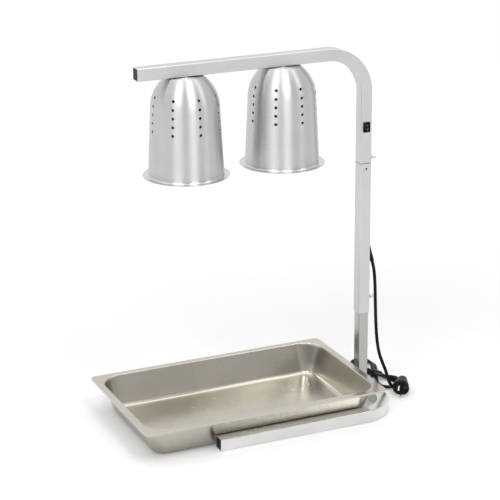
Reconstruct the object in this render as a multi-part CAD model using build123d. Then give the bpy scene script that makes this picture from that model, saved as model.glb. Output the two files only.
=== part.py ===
from build123d import *
import math
import os

# Food heat lamp: two perforated shades on a telescopic post over a gastronorm pan.
# Millimetres. The origin is on the counter under the post's axis, +X is the cord side,
# +Y points away from the front and +Z is up.

# Pan, gastronorm 1/1, 65 deep
PAN_LENGTH = 530.0
PAN_WIDTH = 325.0
PAN_DEPTH = 65.0
PAN_RIM = 13.5
PAN_LIP = 4.5
PAN_SHEET = 0.8
PAN_DRAFT = 17.5
PAN_RIM_CORNER = 10.0
PAN_MOUTH_CORNER = 45.0
PAN_FLOOR_BEND = 12.0
PAN_EDGE_BEND = 2.0
PAN_TO_POST = 10.5
PAN_TO_LEG = 1.3
SAME_HEIGHT = 0.01

# Square tubes
TUBE = 25.0
TUBE_WALL = 1.2
TUBE_CORNER = 2.0
SLIDE_GAP = 0.3
BASE_REACH = 396.0
BASE_BEND = 68.0
POST_OVERLAP = 90.0
MIDDLE_FOOT = 178.0
MIDDLE_LENGTH = 328.0
SPIGOT_DOWN = 60.0
SPIGOT_UP = 55.0
ARM_RISE = 233.8
ARM_REACH = 494.0
ARM_BEND = 85.0
END_PLUG_LENGTH = 16.0
END_PLUG_FACE = 3.0
END_PLUG_WALL = 2.0
FIT_GAP = 0.05
WELD_LEG = 4.0
END_CHAMFER = 0.5

# Clamp screws, nuts and rivet
SCREW_RADIUS = 2.5
SCREW_LOWER_UP = 32.0
SCREW_UPPER_UP = 9.0
SCREW_HEAD_RADIUS = 4.75
SCREW_HEAD_LENGTH = 8.6
SCREW_NECK = 2.0
SCREW_FLUTES = 18
SCREW_FLUTE_RADIUS = 0.45
NUT_FLATS = 8.0
NUT_THICK = 4.0
RIVET_RADIUS = 2.4
RIVET_HEAD_RADIUS = 3.8
RIVET_HEAD_TOP = 3.0
RIVET_BORE = 1.5
RIVET_BORE_DEPTH = 3.0
RIVET_TAIL_RADIUS = 3.2
RIVET_HEAD_HEIGHT = 1.5
RIVET_DROP = 11.0

# Rocker switch on the arm's front face
SWITCH_UP = 76.7
BEZEL_WIDTH = 15.0
BEZEL_HEIGHT = 21.0
BEZEL_THICK = 2.0
BEZEL_RIM = 1.7
BEZEL_CORNER = 1.0
SWITCH_BODY_MARGIN = 1.1
SWITCH_BODY_DEPTH = 14.0
SWITCH_WALL = 1.1
ROCKER_SIDE_GAP = 0.3
ROCKER_HALF = 7.6
ROCKER_END_RISE = 3.4
ROCKER_MID_RISE = 2.2
ROCKER_PIVOT_DEPTH = 3.0
ROCKER_KEEL = 5.5
ROCKER_TILT = 9.0
ROCKER_PIN_RADIUS = 1.2
BLADE_WIDTH = 4.8
BLADE_THICK = 0.8
BLADE_LENGTH = 8.0
BLADE_SPREAD = 5.0

# Shades and lamps
LAMP_X = (-392.8, -184.8)
LAMP_NAME = ("left", "right")
SHADE_TURN = (2.5, 10.0)
SPACER_HEIGHT = 1.2
SPACER_RADIUS = 11.0
SHADE_SHEET = 1.2
SHADE_TOP_RADIUS = 37.0
SHADE_SHOULDER_RADIUS = 68.3
SHADE_SHOULDER_DROP = 59.1
SHADE_DOME_RADIUS = 75.0
SHADE_MOUTH_RADIUS = 75.3
SHADE_HEIGHT = 197.6
SHADE_FLANGE = 11.2
SHADE_BEND = 4.0
VENT_COLUMNS = 8
VENT_ROWS = 5
VENT_RADIUS = 3.0
VENT_TOP_DROP = 35.4
VENT_PITCH = 16.65
NIPPLE_RADIUS = 5.0
NIPPLE_BORE = 3.4
NIPPLE_INTO_HOLDER = 9.0
NIPPLE_ABOVE_NUT = 2.5
ARM_NUT_FLATS = 14.0
ARM_NUT_THICK = 3.0
HOLDER_HEIGHT = 38.0
HOLDER_TOP_RADIUS = 12.0
HOLDER_RADIUS = 20.5
HOLDER_SHOULDER = 9.0
HOLDER_FLOOR = 5.0
SHELL_RADIUS = 14.2
SHELL_SHEET = 0.5
SHELL_LENGTH = 21.0
CONTACT_RADIUS = 6.0
CONTACT_THICK = 1.2
CAP_RADIUS = 13.2
CAP_SHEET = 0.6
CAP_LENGTH = 27.5
CAP_TIP = 1.5
CAP_TIP_RADIUS = 4.0
CAP_CONE = 5.0
BULB_LENGTH = 170.0
BULB_RADIUS = 62.5
BULB_NECK_RADIUS = 19.5
BULB_NECK_LENGTH = 19.0
BULB_GLASS = 1.2
BULB_WIDE_UP = 34.0
BULB_FLANK_RADIUS = 37.0
BULB_FLANK_DROP = 26.0
BULB_CROWN_RADIUS = 45.0
BULB_CROWN_UP = 10.0
STEM_RADIUS = 4.0
STEM_LENGTH = 52.0
FILAMENT_WIRE = 0.6
FILAMENT_RADIUS = 12.0
FILAMENT_DROP = 30.0

# Leads inside the tubes
LEAD_RADIUS = 2.6
CORE_RADIUS = 1.6
LEAD_ABOVE_AXIS = 4.5
LEAD_SWAY = 20.0
LEAD_BEND = 12.0

# Cord, its strain relief, hank, tie and plug
CORD = 7.0
GLAND_UP = 147.0
GLAND_LEAN = 17.0
GLAND_LENGTH = 38.0
GLAND_ROOT_RADIUS = 5.4
GLAND_TIP_RADIUS = 4.4
GLAND_FLANGE_WIDTH = 13.0
GLAND_FLANGE_HEIGHT = 40.0
GLAND_FLANGE_THICK = 1.2
GLAND_NECK_RADIUS = 4.9
GLAND_NECK_LENGTH = 3.0
GLAND_RING_RADIUS = 6.0
GLAND_RING_THICK = 1.2
HANK_X = 60.0
HANK_Y = 48.0
HANK_TURN = 5.0
HANK_FOLD = 21.0
HANK_STEP = 9.4
HANK_HALF_RUN = 55.0
HANK_WAIST = 8.0
HANK_ENTRY = 50.0
LAYER_RISE = 7.6
TIE_WIDTH = 6.0
TIE_SHEET = 1.2
TIE_GAP = 0.3
DROP_LEAD = 16.0
DROP_POINTS = (
    (31.8, -1.0, 242.0),
    (32.4, -3.0, 212.0),
    (31.6, -6.4, 182.0),
    (29.4, -12.6, 150.0),
    (28.0, -19.6, 117.5),
    (29.7, -26.4, 87.4),
    (35.4, -33.6, 66.0),
    (39.6, -40.5, 50.0),
    (43.8, -46.6, 27.6),
    (51.4, -46.8, 14.4),
    (62.4, -45.3, 7.3),
)
LANDING_RUN = 10.0
TAIL_RUN = 12.0
TAIL_LIFT = 0.27
PLUG_MOUTH = (62.0, -15.0, 22.2)
PLUG_BOOT_DIR = (-0.3, 0.953, -0.04)
PLUG_PIN_DIR = (-0.569, -0.771, -0.286)
PLUG_FACE_RADIUS = 18.0
PLUG_FACE_DEPTH = 5.0
PLUG_BACK_RADIUS = 10.0
PLUG_DEPTH = 30.5
PLUG_AXIS_DEPTH = 22.0
BOOT_LENGTH = 38.0
BOOT_ROOT_RADIUS = 8.5
BOOT_TIP_RADIUS = 5.0
PIN_RADIUS = 2.4
PIN_LENGTH = 19.0
PIN_SPREAD = 9.5
PIN_ROOT = 8.0
EARTH_OFFSET = 10.0
EARTH_RADIUS = 2.6
EARTH_DEPTH = 16.0
CLIP_WIDTH = 4.5
CLIP_THICK = 1.0
CLIP_LENGTH = 5.0

os.makedirs("parts", exist_ok=True)

# Shared heights
half = TUBE / 2
bore_half = half - TUBE_WALL
inner_tube = TUBE - 2 * TUBE_WALL - 2 * SLIDE_GAP
seam_z = MIDDLE_FOOT + MIDDLE_LENGTH
arm_z = seam_z + ARM_RISE
arm_under = arm_z - half
shade_top = arm_under - SPACER_HEIGHT
gland_z = MIDDLE_FOOT + GLAND_UP
switch_z = seam_z + SWITCH_UP


def save(name, shape):
    shape.label = name
    export_step(shape, f"parts/{name}.step")


def square_tube(path, start, size):
    """A square tube with rounded corners along a path."""
    corner = TUBE_CORNER * size / TUBE
    solid = sweep(start * RectangleRounded(size, size, corner), path=path)
    hole = size - 2 * TUBE_WALL
    core = sweep(start * RectangleRounded(hole, hole, corner - TUBE_WALL / 2), path=path)
    return solid - core


def upright_tube(size, low, high):
    """A square tube standing on the post's axis from one height to another."""
    path = Line((0, 0, low), (0, 0, high))
    return square_tube(path, Plane((0, 0, low)), size)


def rod(radius, start, end):
    """A round bar from one point to another."""
    axis = Vector(*end) - Vector(*start)
    return extrude(Plane(start, z_dir=axis) * Circle(radius), amount=axis.length)


def turned(points, x, z):
    """A ring or disc turned about an upright axis, from (radius, height) points."""
    outline = make_face(Polyline(*[(r, 0, h) for r, h in points], close=True))
    return Pos(x, 0, z) * revolve(outline, Axis.Z)


def hex_nut(flats, thick, bore):
    return extrude(RegularPolygon(flats / 2, 6, major_radius=False) - Circle(bore), amount=thick)


# Pan: tapered walls, rounded floor bend, flat rim and turned-down lip
pan_right = -(half + PAN_TO_POST)
pan_x = pan_right - PAN_LENGTH / 2
mouth_length = PAN_LENGTH - 2 * PAN_RIM
mouth_width = PAN_WIDTH - 2 * PAN_RIM
rim_plane = Plane((pan_x, 0, PAN_DEPTH))
inside = rim_plane * RectangleRounded(mouth_length, mouth_width, PAN_MOUTH_CORNER)
outside = rim_plane * RectangleRounded(
    mouth_length + 2 * PAN_SHEET, mouth_width + 2 * PAN_SHEET, PAN_MOUTH_CORNER + PAN_SHEET
)
tub = extrude(outside, amount=PAN_DEPTH, dir=(0, 0, -1), taper=PAN_DRAFT)
tub = fillet(tub.faces().sort_by(Axis.Z)[0].edges(), PAN_FLOOR_BEND)
flange = extrude(
    rim_plane * RectangleRounded(PAN_LENGTH, PAN_WIDTH, PAN_RIM_CORNER), amount=-PAN_SHEET
)
lip_loop = RectangleRounded(PAN_LENGTH, PAN_WIDTH, PAN_RIM_CORNER) - RectangleRounded(
    PAN_LENGTH - 2 * PAN_SHEET, PAN_WIDTH - 2 * PAN_SHEET, PAN_RIM_CORNER - PAN_SHEET
)
lip = extrude(rim_plane * lip_loop, amount=-PAN_LIP)
hollow = extrude(inside, amount=PAN_DEPTH - PAN_SHEET, dir=(0, 0, -1), taper=PAN_DRAFT)
hollow = fillet(hollow.faces().sort_by(Axis.Z)[0].edges(), PAN_FLOOR_BEND - PAN_SHEET)
pan = tub + flange
under_edges = [
    e
    for e in pan.edges()
    if abs(e.center().Z - (PAN_DEPTH - PAN_SHEET)) < SAME_HEIGHT
    and abs(e.bounding_box().size.Z) < SAME_HEIGHT
    and e.center().Z < PAN_DEPTH
    and abs((e @ 0.5).X - pan_x) <= mouth_length / 2 + PAN_RIM / 2
    and abs((e @ 0.5).Y) <= mouth_width / 2 + PAN_RIM / 2
]
pan = fillet(under_edges, PAN_EDGE_BEND)
pan = pan + lip - hollow
top_edges = [
    e
    for e in pan.edges()
    if abs(e.center().Z - PAN_DEPTH) < SAME_HEIGHT
    and abs((e @ 0.5).X - pan_x) <= mouth_length / 2 + PAN_RIM / 2
    and abs((e @ 0.5).Y) <= mouth_width / 2 + PAN_RIM / 2
]
pan = fillet(top_edges, PAN_EDGE_BEND + PAN_SHEET / 2)
save("food_pan", pan)

# Base: one square tube bent to a U that lies flat on the counter, and its end plugs
wall_reach = PAN_WIDTH / 2 - PAN_RIM + PAN_SHEET
wall_reach -= (PAN_DEPTH - TUBE) * math.tan(math.radians(PAN_DRAFT))
leg_y = wall_reach + PAN_TO_LEG + half
base_path = FilletPolyline(
    (-BASE_REACH, -leg_y, half),
    (0, -leg_y, half),
    (0, leg_y, half),
    (-BASE_REACH, leg_y, half),
    radius=BASE_BEND,
)
base_start = Plane((-BASE_REACH, -leg_y, half), x_dir=(0, 1, 0), z_dir=(1, 0, 0))
save("base_tube", square_tube(base_path, base_start, TUBE))


def end_plug(x, y, z):
    """A moulded cup pressed into a tube's open end, flush with it."""
    width = 2 * (bore_half - FIT_GAP)
    mouth = Plane((x, y, z), x_dir=(0, 1, 0), z_dir=(1, 0, 0))
    block = extrude(mouth * RectangleRounded(width, width, TUBE_CORNER), amount=END_PLUG_LENGTH)
    well = width - 2 * END_PLUG_WALL
    floor = mouth.offset(END_PLUG_FACE)
    return block - extrude(floor * RectangleRounded(well, well, TUBE_CORNER / 2), amount=END_PLUG_LENGTH)


save("base_plug_front", end_plug(-BASE_REACH, -leg_y, half))
save("base_plug_rear", end_plug(-BASE_REACH, leg_y, half))
save("arm_end_plug", end_plug(-ARM_REACH, 0, arm_z))

# Posts: a slim lower post welded to the base, the middle tube over it, a spigot in its top
post_top = MIDDLE_FOOT + POST_OVERLAP
save("lower_post", upright_tube(inner_tube, TUBE, post_top))
bead = make_face(Polyline((0, 0), (WELD_LEG, 0), (0, WELD_LEG), close=True))
bead_length = inner_tube - 2 * TUBE_CORNER
rear_bead = Plane((-bead_length / 2, inner_tube / 2, TUBE), x_dir=(0, 1, 0), z_dir=(1, 0, 0)) * bead
rear_bead = extrude(rear_bead, amount=bead_length)
save("post_welds", Compound(children=[rear_bead, mirror(rear_bead, Plane.XZ)]))

middle = upright_tube(TUBE, MIDDLE_FOOT, seam_z)
middle_ends = middle.faces().sort_by(Axis.Z)
end_edges = middle_ends[0].outer_wire().edges() + middle_ends[-1].outer_wire().edges()
middle = chamfer(end_edges, END_CHAMFER)
lower_screw_z = MIDDLE_FOOT + SCREW_LOWER_UP
upper_screw_z = seam_z + SCREW_UPPER_UP
rivet_z = seam_z - RIVET_DROP
screw_hole = SCREW_RADIUS + FIT_GAP
middle -= rod(screw_hole, (0, 0, lower_screw_z), (TUBE, 0, lower_screw_z))
middle -= rod(GLAND_NECK_RADIUS + FIT_GAP, (0, 0, gland_z), (TUBE, 0, gland_z))
rivet_hole = rod(RIVET_RADIUS + FIT_GAP, (0, 0, rivet_z), (0, -TUBE, rivet_z))
save("middle_post", middle - rivet_hole)
spigot = upright_tube(inner_tube, seam_z - SPIGOT_DOWN, seam_z + SPIGOT_UP)
save("spigot", spigot - rivet_hole)
rivet_end = bore_half - SLIDE_GAP - TUBE_WALL
rivet = turned(
    [
        (0, 0),
        (RIVET_HEAD_RADIUS, 0),
        (RIVET_HEAD_TOP, RIVET_HEAD_HEIGHT),
        (0, RIVET_HEAD_HEIGHT),
    ],
    0,
    0,
)
rivet += Pos(0, 0, rivet_end - half) * Cylinder(
    RIVET_RADIUS, half - rivet_end, align=(Align.CENTER, Align.CENTER, Align.MIN)
)
rivet += Pos(0, 0, rivet_end - half) * Cylinder(
    RIVET_TAIL_RADIUS, RIVET_HEAD_HEIGHT, align=(Align.CENTER, Align.CENTER, Align.MAX)
)
rivet -= Pos(0, 0, RIVET_HEAD_HEIGHT) * Cylinder(
    RIVET_BORE, RIVET_BORE_DEPTH, align=(Align.CENTER, Align.CENTER, Align.MAX)
)
front_face = Plane((0, -half, rivet_z), x_dir=(1, 0, 0), z_dir=(0, -1, 0))
save("spigot_rivet", front_face * rivet)

# Clamp nuts welded on the cord side, and the two thumb screws
side_face = Plane((half, 0, 0), x_dir=(0, 1, 0), z_dir=(1, 0, 0))
nut = hex_nut(NUT_FLATS, NUT_THICK, screw_hole)
shank = NUT_THICK + SCREW_NECK + TUBE_WALL
thumb = Cylinder(SCREW_RADIUS, shank, align=(Align.CENTER, Align.CENTER, Align.MIN))
head = Cylinder(SCREW_HEAD_RADIUS, SCREW_HEAD_LENGTH, align=(Align.CENTER, Align.CENTER, Align.MIN))
head = chamfer(head.edges().filter_by(GeomType.CIRCLE), SCREW_FLUTE_RADIUS)
flute = Cylinder(SCREW_FLUTE_RADIUS, SCREW_HEAD_LENGTH, align=(Align.CENTER, Align.CENTER, Align.MIN))
head -= PolarLocations(SCREW_HEAD_RADIUS, SCREW_FLUTES) * flute
thumb += Pos(0, 0, shank) * head
for level, z in (("lower", lower_screw_z), ("upper", upper_screw_z)):
    spot = side_face * Pos(0, z, 0)
    save(f"{level}_clamp_nut", spot * nut)
    save(f"{level}_thumb_screw", spot * Pos(0, 0, -TUBE_WALL) * thumb)

# Arm: one square tube, up from the seam and bent over the pan
arm_path = FilletPolyline((0, 0, seam_z), (0, 0, arm_z), (-ARM_REACH, 0, arm_z), radius=ARM_BEND)
arm = square_tube(arm_path, Plane((0, 0, seam_z)), TUBE)
arm = chamfer(arm.faces().sort_by(Axis.Z)[0].outer_wire().edges(), END_CHAMFER)
arm -= rod(screw_hole, (0, 0, upper_screw_z), (TUBE, 0, upper_screw_z))
for x in LAMP_X:
    arm -= rod(NIPPLE_RADIUS + FIT_GAP, (x, 0, arm_z), (x, 0, shade_top))
switch_plane = Plane((0, -half, switch_z), x_dir=(1, 0, 0), z_dir=(0, -1, 0))
body_width = BEZEL_WIDTH - 2 * SWITCH_BODY_MARGIN
body_height = BEZEL_HEIGHT - 2 * SWITCH_BODY_MARGIN
cut_out = Rectangle(body_width + 2 * FIT_GAP, body_height + 2 * FIT_GAP)
arm -= extrude(switch_plane * cut_out, amount=-half)
save("arm_tube", arm)

# Switch: housing with a bezel, a rocker on two trunnions, two blades behind
well_width = body_width - 2 * SWITCH_WALL
well_height = BEZEL_HEIGHT - 2 * BEZEL_RIM
well_depth = ROCKER_PIVOT_DEPTH + ROCKER_KEEL + 2 * ROCKER_SIDE_GAP
bezel = RectangleRounded(BEZEL_WIDTH, BEZEL_HEIGHT, BEZEL_CORNER)
housing = extrude(switch_plane * bezel, amount=BEZEL_THICK)
housing += extrude(switch_plane * Rectangle(body_width, body_height), amount=-SWITCH_BODY_DEPTH)
well = switch_plane.offset(-well_depth) * Rectangle(well_width, well_height)
housing -= extrude(well, amount=well_depth + BEZEL_THICK)
pivot_y = -half + ROCKER_PIVOT_DEPTH
trunnion_half = body_width / 2 - FIT_GAP
pivot = rod(
    ROCKER_PIN_RADIUS + FIT_GAP,
    (-trunnion_half, pivot_y, switch_z),
    (trunnion_half, pivot_y, switch_z),
)
save("switch_body", housing - pivot)
rocker_side = make_face(
    Polyline(
        (-ROCKER_HALF, ROCKER_END_RISE),
        (0, ROCKER_MID_RISE),
        (ROCKER_HALF, ROCKER_END_RISE),
        (ROCKER_HALF, -ROCKER_PIVOT_DEPTH / 2),
        (ROCKER_HALF / 3, -ROCKER_PIVOT_DEPTH - ROCKER_KEEL / 2),
        (-ROCKER_HALF / 3, -ROCKER_PIVOT_DEPTH - ROCKER_KEEL / 2),
        (-ROCKER_HALF, -ROCKER_PIVOT_DEPTH / 2),
        close=True,
    )
)
rocker_half = well_width / 2 - ROCKER_SIDE_GAP
rocker_plane = Plane((0, -half, switch_z), x_dir=(0, 0, 1), z_dir=(1, 0, 0))
rocker = extrude(rocker_plane * rocker_side, amount=rocker_half, both=True)
rocker += rod(
    ROCKER_PIN_RADIUS,
    (-trunnion_half + ROCKER_SIDE_GAP, pivot_y, switch_z),
    (trunnion_half - ROCKER_SIDE_GAP, pivot_y, switch_z),
)
pivot_axis = Axis((0, pivot_y, switch_z), (1, 0, 0))
save("switch_rocker", rocker.rotate(pivot_axis, -ROCKER_TILT))
blade_end = -half + SWITCH_BODY_DEPTH
blade_plane = Plane((0, blade_end, switch_z), x_dir=(1, 0, 0), z_dir=(0, 1, 0))
blade = extrude(Rectangle(BLADE_WIDTH, BLADE_THICK), amount=BLADE_LENGTH)
blades = [blade_plane * Pos(0, y, 0) * blade for y in (-BLADE_SPREAD, BLADE_SPREAD)]
save("switch_blades", Compound(children=blades))

# Leads inside the tubes: supply up to the switch, then along the arm to both lamps
blade_low = switch_z - BLADE_SPREAD - BLADE_THICK / 2
blade_high = switch_z + BLADE_SPREAD + BLADE_THICK / 2
gland_inner = half - TUBE_WALL - GLAND_NECK_LENGTH
lead_y = blade_end + BLADE_LENGTH / 2
sway_z = seam_z + SPIGOT_UP / 2


def lead(points, radii):
    path = FilletPolyline(*points, radius=radii)
    return sweep(Plane(path @ 0, z_dir=path % 0) * Circle(LEAD_RADIUS), path=path)


supply = lead(
    [
        (gland_inner, 0, gland_z),
        (0, 0, gland_z),
        (0, 0, sway_z),
        (0, lead_y, sway_z + LEAD_SWAY),
        (0, lead_y, blade_low - FIT_GAP),
    ],
    [gland_inner * 0.9, LEAD_BEND, LEAD_BEND],
)
save("supply_lead", supply)
lead_z = arm_z + LEAD_ABOVE_AXIS
lamp_lead = lead(
    [
        (0, lead_y, blade_high + FIT_GAP),
        (0, lead_y, blade_high + LEAD_SWAY),
        (0, 0, blade_high + 2 * LEAD_SWAY),
        (0, 0, lead_z),
        (LAMP_X[0] - 2 * CORE_RADIUS, 0, lead_z),
    ],
    [LEAD_BEND, LEAD_BEND, ARM_BEND + LEAD_ABOVE_AXIS],
)
nipple_top = arm_under + TUBE_WALL + ARM_NUT_THICK + NIPPLE_ABOVE_NUT
for x in LAMP_X:
    lamp_lead += rod(CORE_RADIUS, (x, 0, lead_z), (x, 0, arm_under))
save("lamp_lead", lamp_lead)

# Shades: spun dome on a steep cone with a turned-out mouth and rows of vent holes
chord_r = SHADE_SHOULDER_RADIUS - SHADE_TOP_RADIUS
chord = math.hypot(chord_r, SHADE_SHOULDER_DROP)
sag = math.sqrt(SHADE_DOME_RADIUS**2 - chord**2 / 4)
dome_r = (SHADE_SHOULDER_RADIUS + SHADE_TOP_RADIUS) / 2 - sag * SHADE_SHOULDER_DROP / chord
dome_z = -SHADE_SHOULDER_DROP / 2 - sag * chord_r / chord


def dome_point(radius, height):
    """Radius of the dome's arc at a height below the shade's top."""
    return dome_r + math.sqrt(radius**2 - (height - dome_z) ** 2)


def dome_arc(radius, high, low):
    middle_height = (high + low) / 2
    points = [(dome_point(radius, h), 0, h) for h in (high, middle_height, low)]
    return ThreePointArc(*points)


shade_low = -SHADE_HEIGHT
rim_top = shade_low + SHADE_SHEET
inner_dome = SHADE_DOME_RADIUS - SHADE_SHEET
outer_arc = dome_arc(SHADE_DOME_RADIUS, 0, -SHADE_SHOULDER_DROP)
inner_arc = dome_arc(inner_dome, -SHADE_SHEET, -SHADE_SHOULDER_DROP)
hole_r = NIPPLE_RADIUS + FIT_GAP
rim_r = SHADE_MOUTH_RADIUS + SHADE_FLANGE
shade_line = [
    Line((hole_r, 0, 0), outer_arc @ 0),
    outer_arc,
    Polyline(
        outer_arc @ 1,
        (SHADE_MOUTH_RADIUS, 0, rim_top),
        (rim_r, 0, rim_top),
        (rim_r, 0, shade_low),
        (SHADE_MOUTH_RADIUS - SHADE_SHEET, 0, shade_low),
        inner_arc @ 1,
    ),
    inner_arc,
    Polyline(inner_arc @ 0, (hole_r, 0, -SHADE_SHEET), (hole_r, 0, 0)),
]
shade_face = make_face(Curve() + shade_line)
bends = {
    (SHADE_MOUTH_RADIUS, rim_top): SHADE_BEND,
    (SHADE_MOUTH_RADIUS - SHADE_SHEET, shade_low): SHADE_BEND + SHADE_SHEET,
    ((outer_arc @ 0).X, 0.0): SHADE_BEND + SHADE_SHEET,
    ((inner_arc @ 0).X, -SHADE_SHEET): SHADE_BEND,
}
for (r, h), radius in bends.items():
    corner = shade_face.vertices().sort_by_distance((r, 0, h))[0]
    shade_face = fillet(corner, radius)
shade_blank = revolve(shade_face, Axis.Z)
vents = [
    Rot(0, 0, c * 360 / VENT_COLUMNS)
    * Pos(0, 0, -VENT_TOP_DROP - row * VENT_PITCH)
    * rod(VENT_RADIUS, (SHADE_TOP_RADIUS, 0, 0), (rim_r, 0, 0))
    for c in range(VENT_COLUMNS)
    for row in range(VENT_ROWS)
]
vented_shade = shade_blank - vents

# Lamp stack under the arm, made alike for both lamps
holder_low = -HOLDER_HEIGHT
shell_top = holder_low + SHELL_LENGTH
bore_r = SHELL_RADIUS + 2 * FIT_GAP
holder_points = [
    (hole_r, 0),
    (HOLDER_TOP_RADIUS, 0),
    (HOLDER_RADIUS, -HOLDER_SHOULDER),
    (HOLDER_RADIUS, holder_low),
    (bore_r, holder_low),
    (bore_r, -NIPPLE_INTO_HOLDER - HOLDER_FLOOR),
    (NIPPLE_BORE, -NIPPLE_INTO_HOLDER - HOLDER_FLOOR),
    (NIPPLE_BORE, -NIPPLE_INTO_HOLDER),
    (hole_r, -NIPPLE_INTO_HOLDER),
]
contact_z = -NIPPLE_INTO_HOLDER - HOLDER_FLOOR - CONTACT_THICK
shell_points = [
    (SHELL_RADIUS - SHELL_SHEET, holder_low + SHELL_SHEET),
    (SHELL_RADIUS, holder_low + SHELL_SHEET),
    (SHELL_RADIUS, shell_top),
    (SHELL_RADIUS - SHELL_SHEET, shell_top),
]
cap_low = contact_z - CAP_LENGTH
cap_in = CAP_RADIUS - CAP_SHEET
cap_points = [
    (0, contact_z),
    (CAP_TIP_RADIUS, contact_z),
    (CAP_TIP_RADIUS, contact_z - CAP_TIP),
    (CAP_RADIUS, contact_z - CAP_TIP - CAP_CONE),
    (CAP_RADIUS, cap_low),
    (cap_in, cap_low),
    (cap_in, contact_z - CAP_TIP - 2 * CAP_CONE),
    (0, contact_z - CAP_TIP - 2 * CAP_CONE),
]
face_z = contact_z - BULB_LENGTH
neck_z = cap_low - BULB_NECK_RADIUS / 2
flank_z = neck_z - BULB_NECK_LENGTH
wide_z = face_z + BULB_WIDE_UP


def bulb_side(inset):
    """Outline of the bulb's glass, moved in by the given amount."""
    neck = BULB_NECK_RADIUS - inset
    wide = BULB_RADIUS - inset
    low = face_z + inset
    stub = cap_in - FIT_GAP * 4 - inset
    flank = Spline(
        (neck, 0, flank_z),
        (BULB_FLANK_RADIUS - inset, 0, flank_z - BULB_FLANK_DROP),
        (wide, 0, wide_z),
        tangents=[(0, 0, -1), (0, 0, -1)],
    )
    crown = Spline(
        (wide, 0, wide_z),
        (BULB_CROWN_RADIUS - inset, 0, low + BULB_CROWN_UP),
        (0, 0, low),
        tangents=[(0, 0, -1), (-1, 0, 0)],
    )
    top = Polyline((stub, 0, cap_low + CAP_CONE), (stub, 0, cap_low), (neck, 0, neck_z), (neck, 0, flank_z))
    return [top, flank, crown]


outer_side = bulb_side(0)
inner_side = bulb_side(BULB_GLASS)
bulb_face = make_face(
    Curve()
    + outer_side
    + inner_side
    + [Line((0, 0, face_z), (0, 0, face_z + BULB_GLASS)), Line(outer_side[0] @ 0, inner_side[0] @ 0)]
)
bulb_glass = revolve(bulb_face, Axis.Z)
stem_top = contact_z - CAP_TIP - 2 * CAP_CONE
stem_low = stem_top - STEM_LENGTH
filament_z = stem_low - FILAMENT_DROP
mount = rod(STEM_RADIUS, (0, 0, stem_top), (0, 0, stem_low))
coil_path = ThreePointArc(
    (FILAMENT_RADIUS, 0, filament_z),
    (0, -FILAMENT_RADIUS, filament_z),
    (-FILAMENT_RADIUS, 0, filament_z),
)
mount += sweep(Plane(coil_path @ 0, z_dir=coil_path % 0) * Circle(FILAMENT_WIRE), path=coil_path)
for side in (-1, 1):
    wire_root = (side * STEM_RADIUS / 2, 0, stem_low + STEM_RADIUS)
    mount += rod(FILAMENT_WIRE, wire_root, (side * FILAMENT_RADIUS, 0, filament_z))
    mount += Pos(side * FILAMENT_RADIUS, 0, filament_z) * Sphere(2 * FILAMENT_WIRE)
nipple_low = shade_top - SHADE_SHEET - NIPPLE_INTO_HOLDER
for lamp, x, turn in zip(LAMP_NAME, LAMP_X, SHADE_TURN):
    top = Pos(x, 0, shade_top)
    seat = Pos(x, 0, shade_top - SHADE_SHEET)
    save(f"shade_{lamp}", top * Rot(0, 0, turn) * vented_shade)
    spacer = Circle(SPACER_RADIUS) - Circle(hole_r)
    save(f"shade_spacer_{lamp}", top * extrude(spacer, amount=SPACER_HEIGHT))
    nipple = extrude(Circle(NIPPLE_RADIUS) - Circle(NIPPLE_BORE), amount=nipple_top - nipple_low)
    save(f"lamp_nipple_{lamp}", Pos(x, 0, nipple_low) * nipple)
    arm_nut = hex_nut(ARM_NUT_FLATS, ARM_NUT_THICK, hole_r)
    save(f"arm_nut_{lamp}", Pos(x, 0, arm_under + TUBE_WALL) * arm_nut)
    save(f"lamp_holder_{lamp}", seat * turned(holder_points, 0, 0))
    save(f"holder_shell_{lamp}", seat * turned(shell_points, 0, 0))
    contact = Cylinder(CONTACT_RADIUS, CONTACT_THICK, align=(Align.CENTER, Align.CENTER, Align.MIN))
    save(f"holder_contact_{lamp}", seat * Pos(0, 0, contact_z) * contact)
    save(f"bulb_cap_{lamp}", seat * turned(cap_points, 0, 0))
    save(f"bulb_glass_{lamp}", seat * bulb_glass)
    save(f"bulb_mount_{lamp}", seat * mount)

# Strain relief: a leaning cone on a flange, its neck through the middle tube's wall
lean = math.radians(GLAND_LEAN)
gland_dir = Vector(math.sin(lean), 0, -math.cos(lean))
gland_root = Vector(half, 0, gland_z)
gland_tip = gland_root + gland_dir * GLAND_LENGTH
cone_back = GLAND_ROOT_RADIUS / math.tan(lean)
taper = (GLAND_ROOT_RADIUS - GLAND_TIP_RADIUS) / GLAND_LENGTH
cone_start = Plane(gland_root - gland_dir * cone_back, z_dir=gland_dir)
cone_end = Plane(gland_tip, z_dir=gland_dir)
cone_root = GLAND_ROOT_RADIUS + taper * cone_back
cone = loft([cone_start * Circle(cone_root), cone_end * Circle(GLAND_TIP_RADIUS)])
outdoors = Box(4 * TUBE, 4 * TUBE, 8 * TUBE, align=(Align.MIN, Align.CENTER, Align.CENTER))
gland = cone & Pos(half, 0, gland_z) * outdoors
gland_face = side_face * Pos(0, gland_z, 0)
gland_flange = RectangleRounded(GLAND_FLANGE_WIDTH, GLAND_FLANGE_HEIGHT, GLAND_FLANGE_WIDTH / 3)
gland += gland_face * extrude(gland_flange, amount=GLAND_FLANGE_THICK)
gland += rod(GLAND_NECK_RADIUS, (half, 0, gland_z), (gland_inner, 0, gland_z))
gland += rod(GLAND_RING_RADIUS, (bore_half, 0, gland_z), (bore_half - GLAND_RING_THICK, 0, gland_z))
save("strain_relief", gland)


def cord_radii(points):
    """The largest even bends for a cord's route: 0.45 of the shorter run at each corner."""
    spots = [Vector(*p) for p in points]
    radii = []
    for a, b, c in zip(spots, spots[1:], spots[2:]):
        angle = math.radians((b - a).get_angle(c - b))
        radii.append(0.45 * min((b - a).length, (c - b).length) / math.tan(angle / 2))
    return radii


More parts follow.
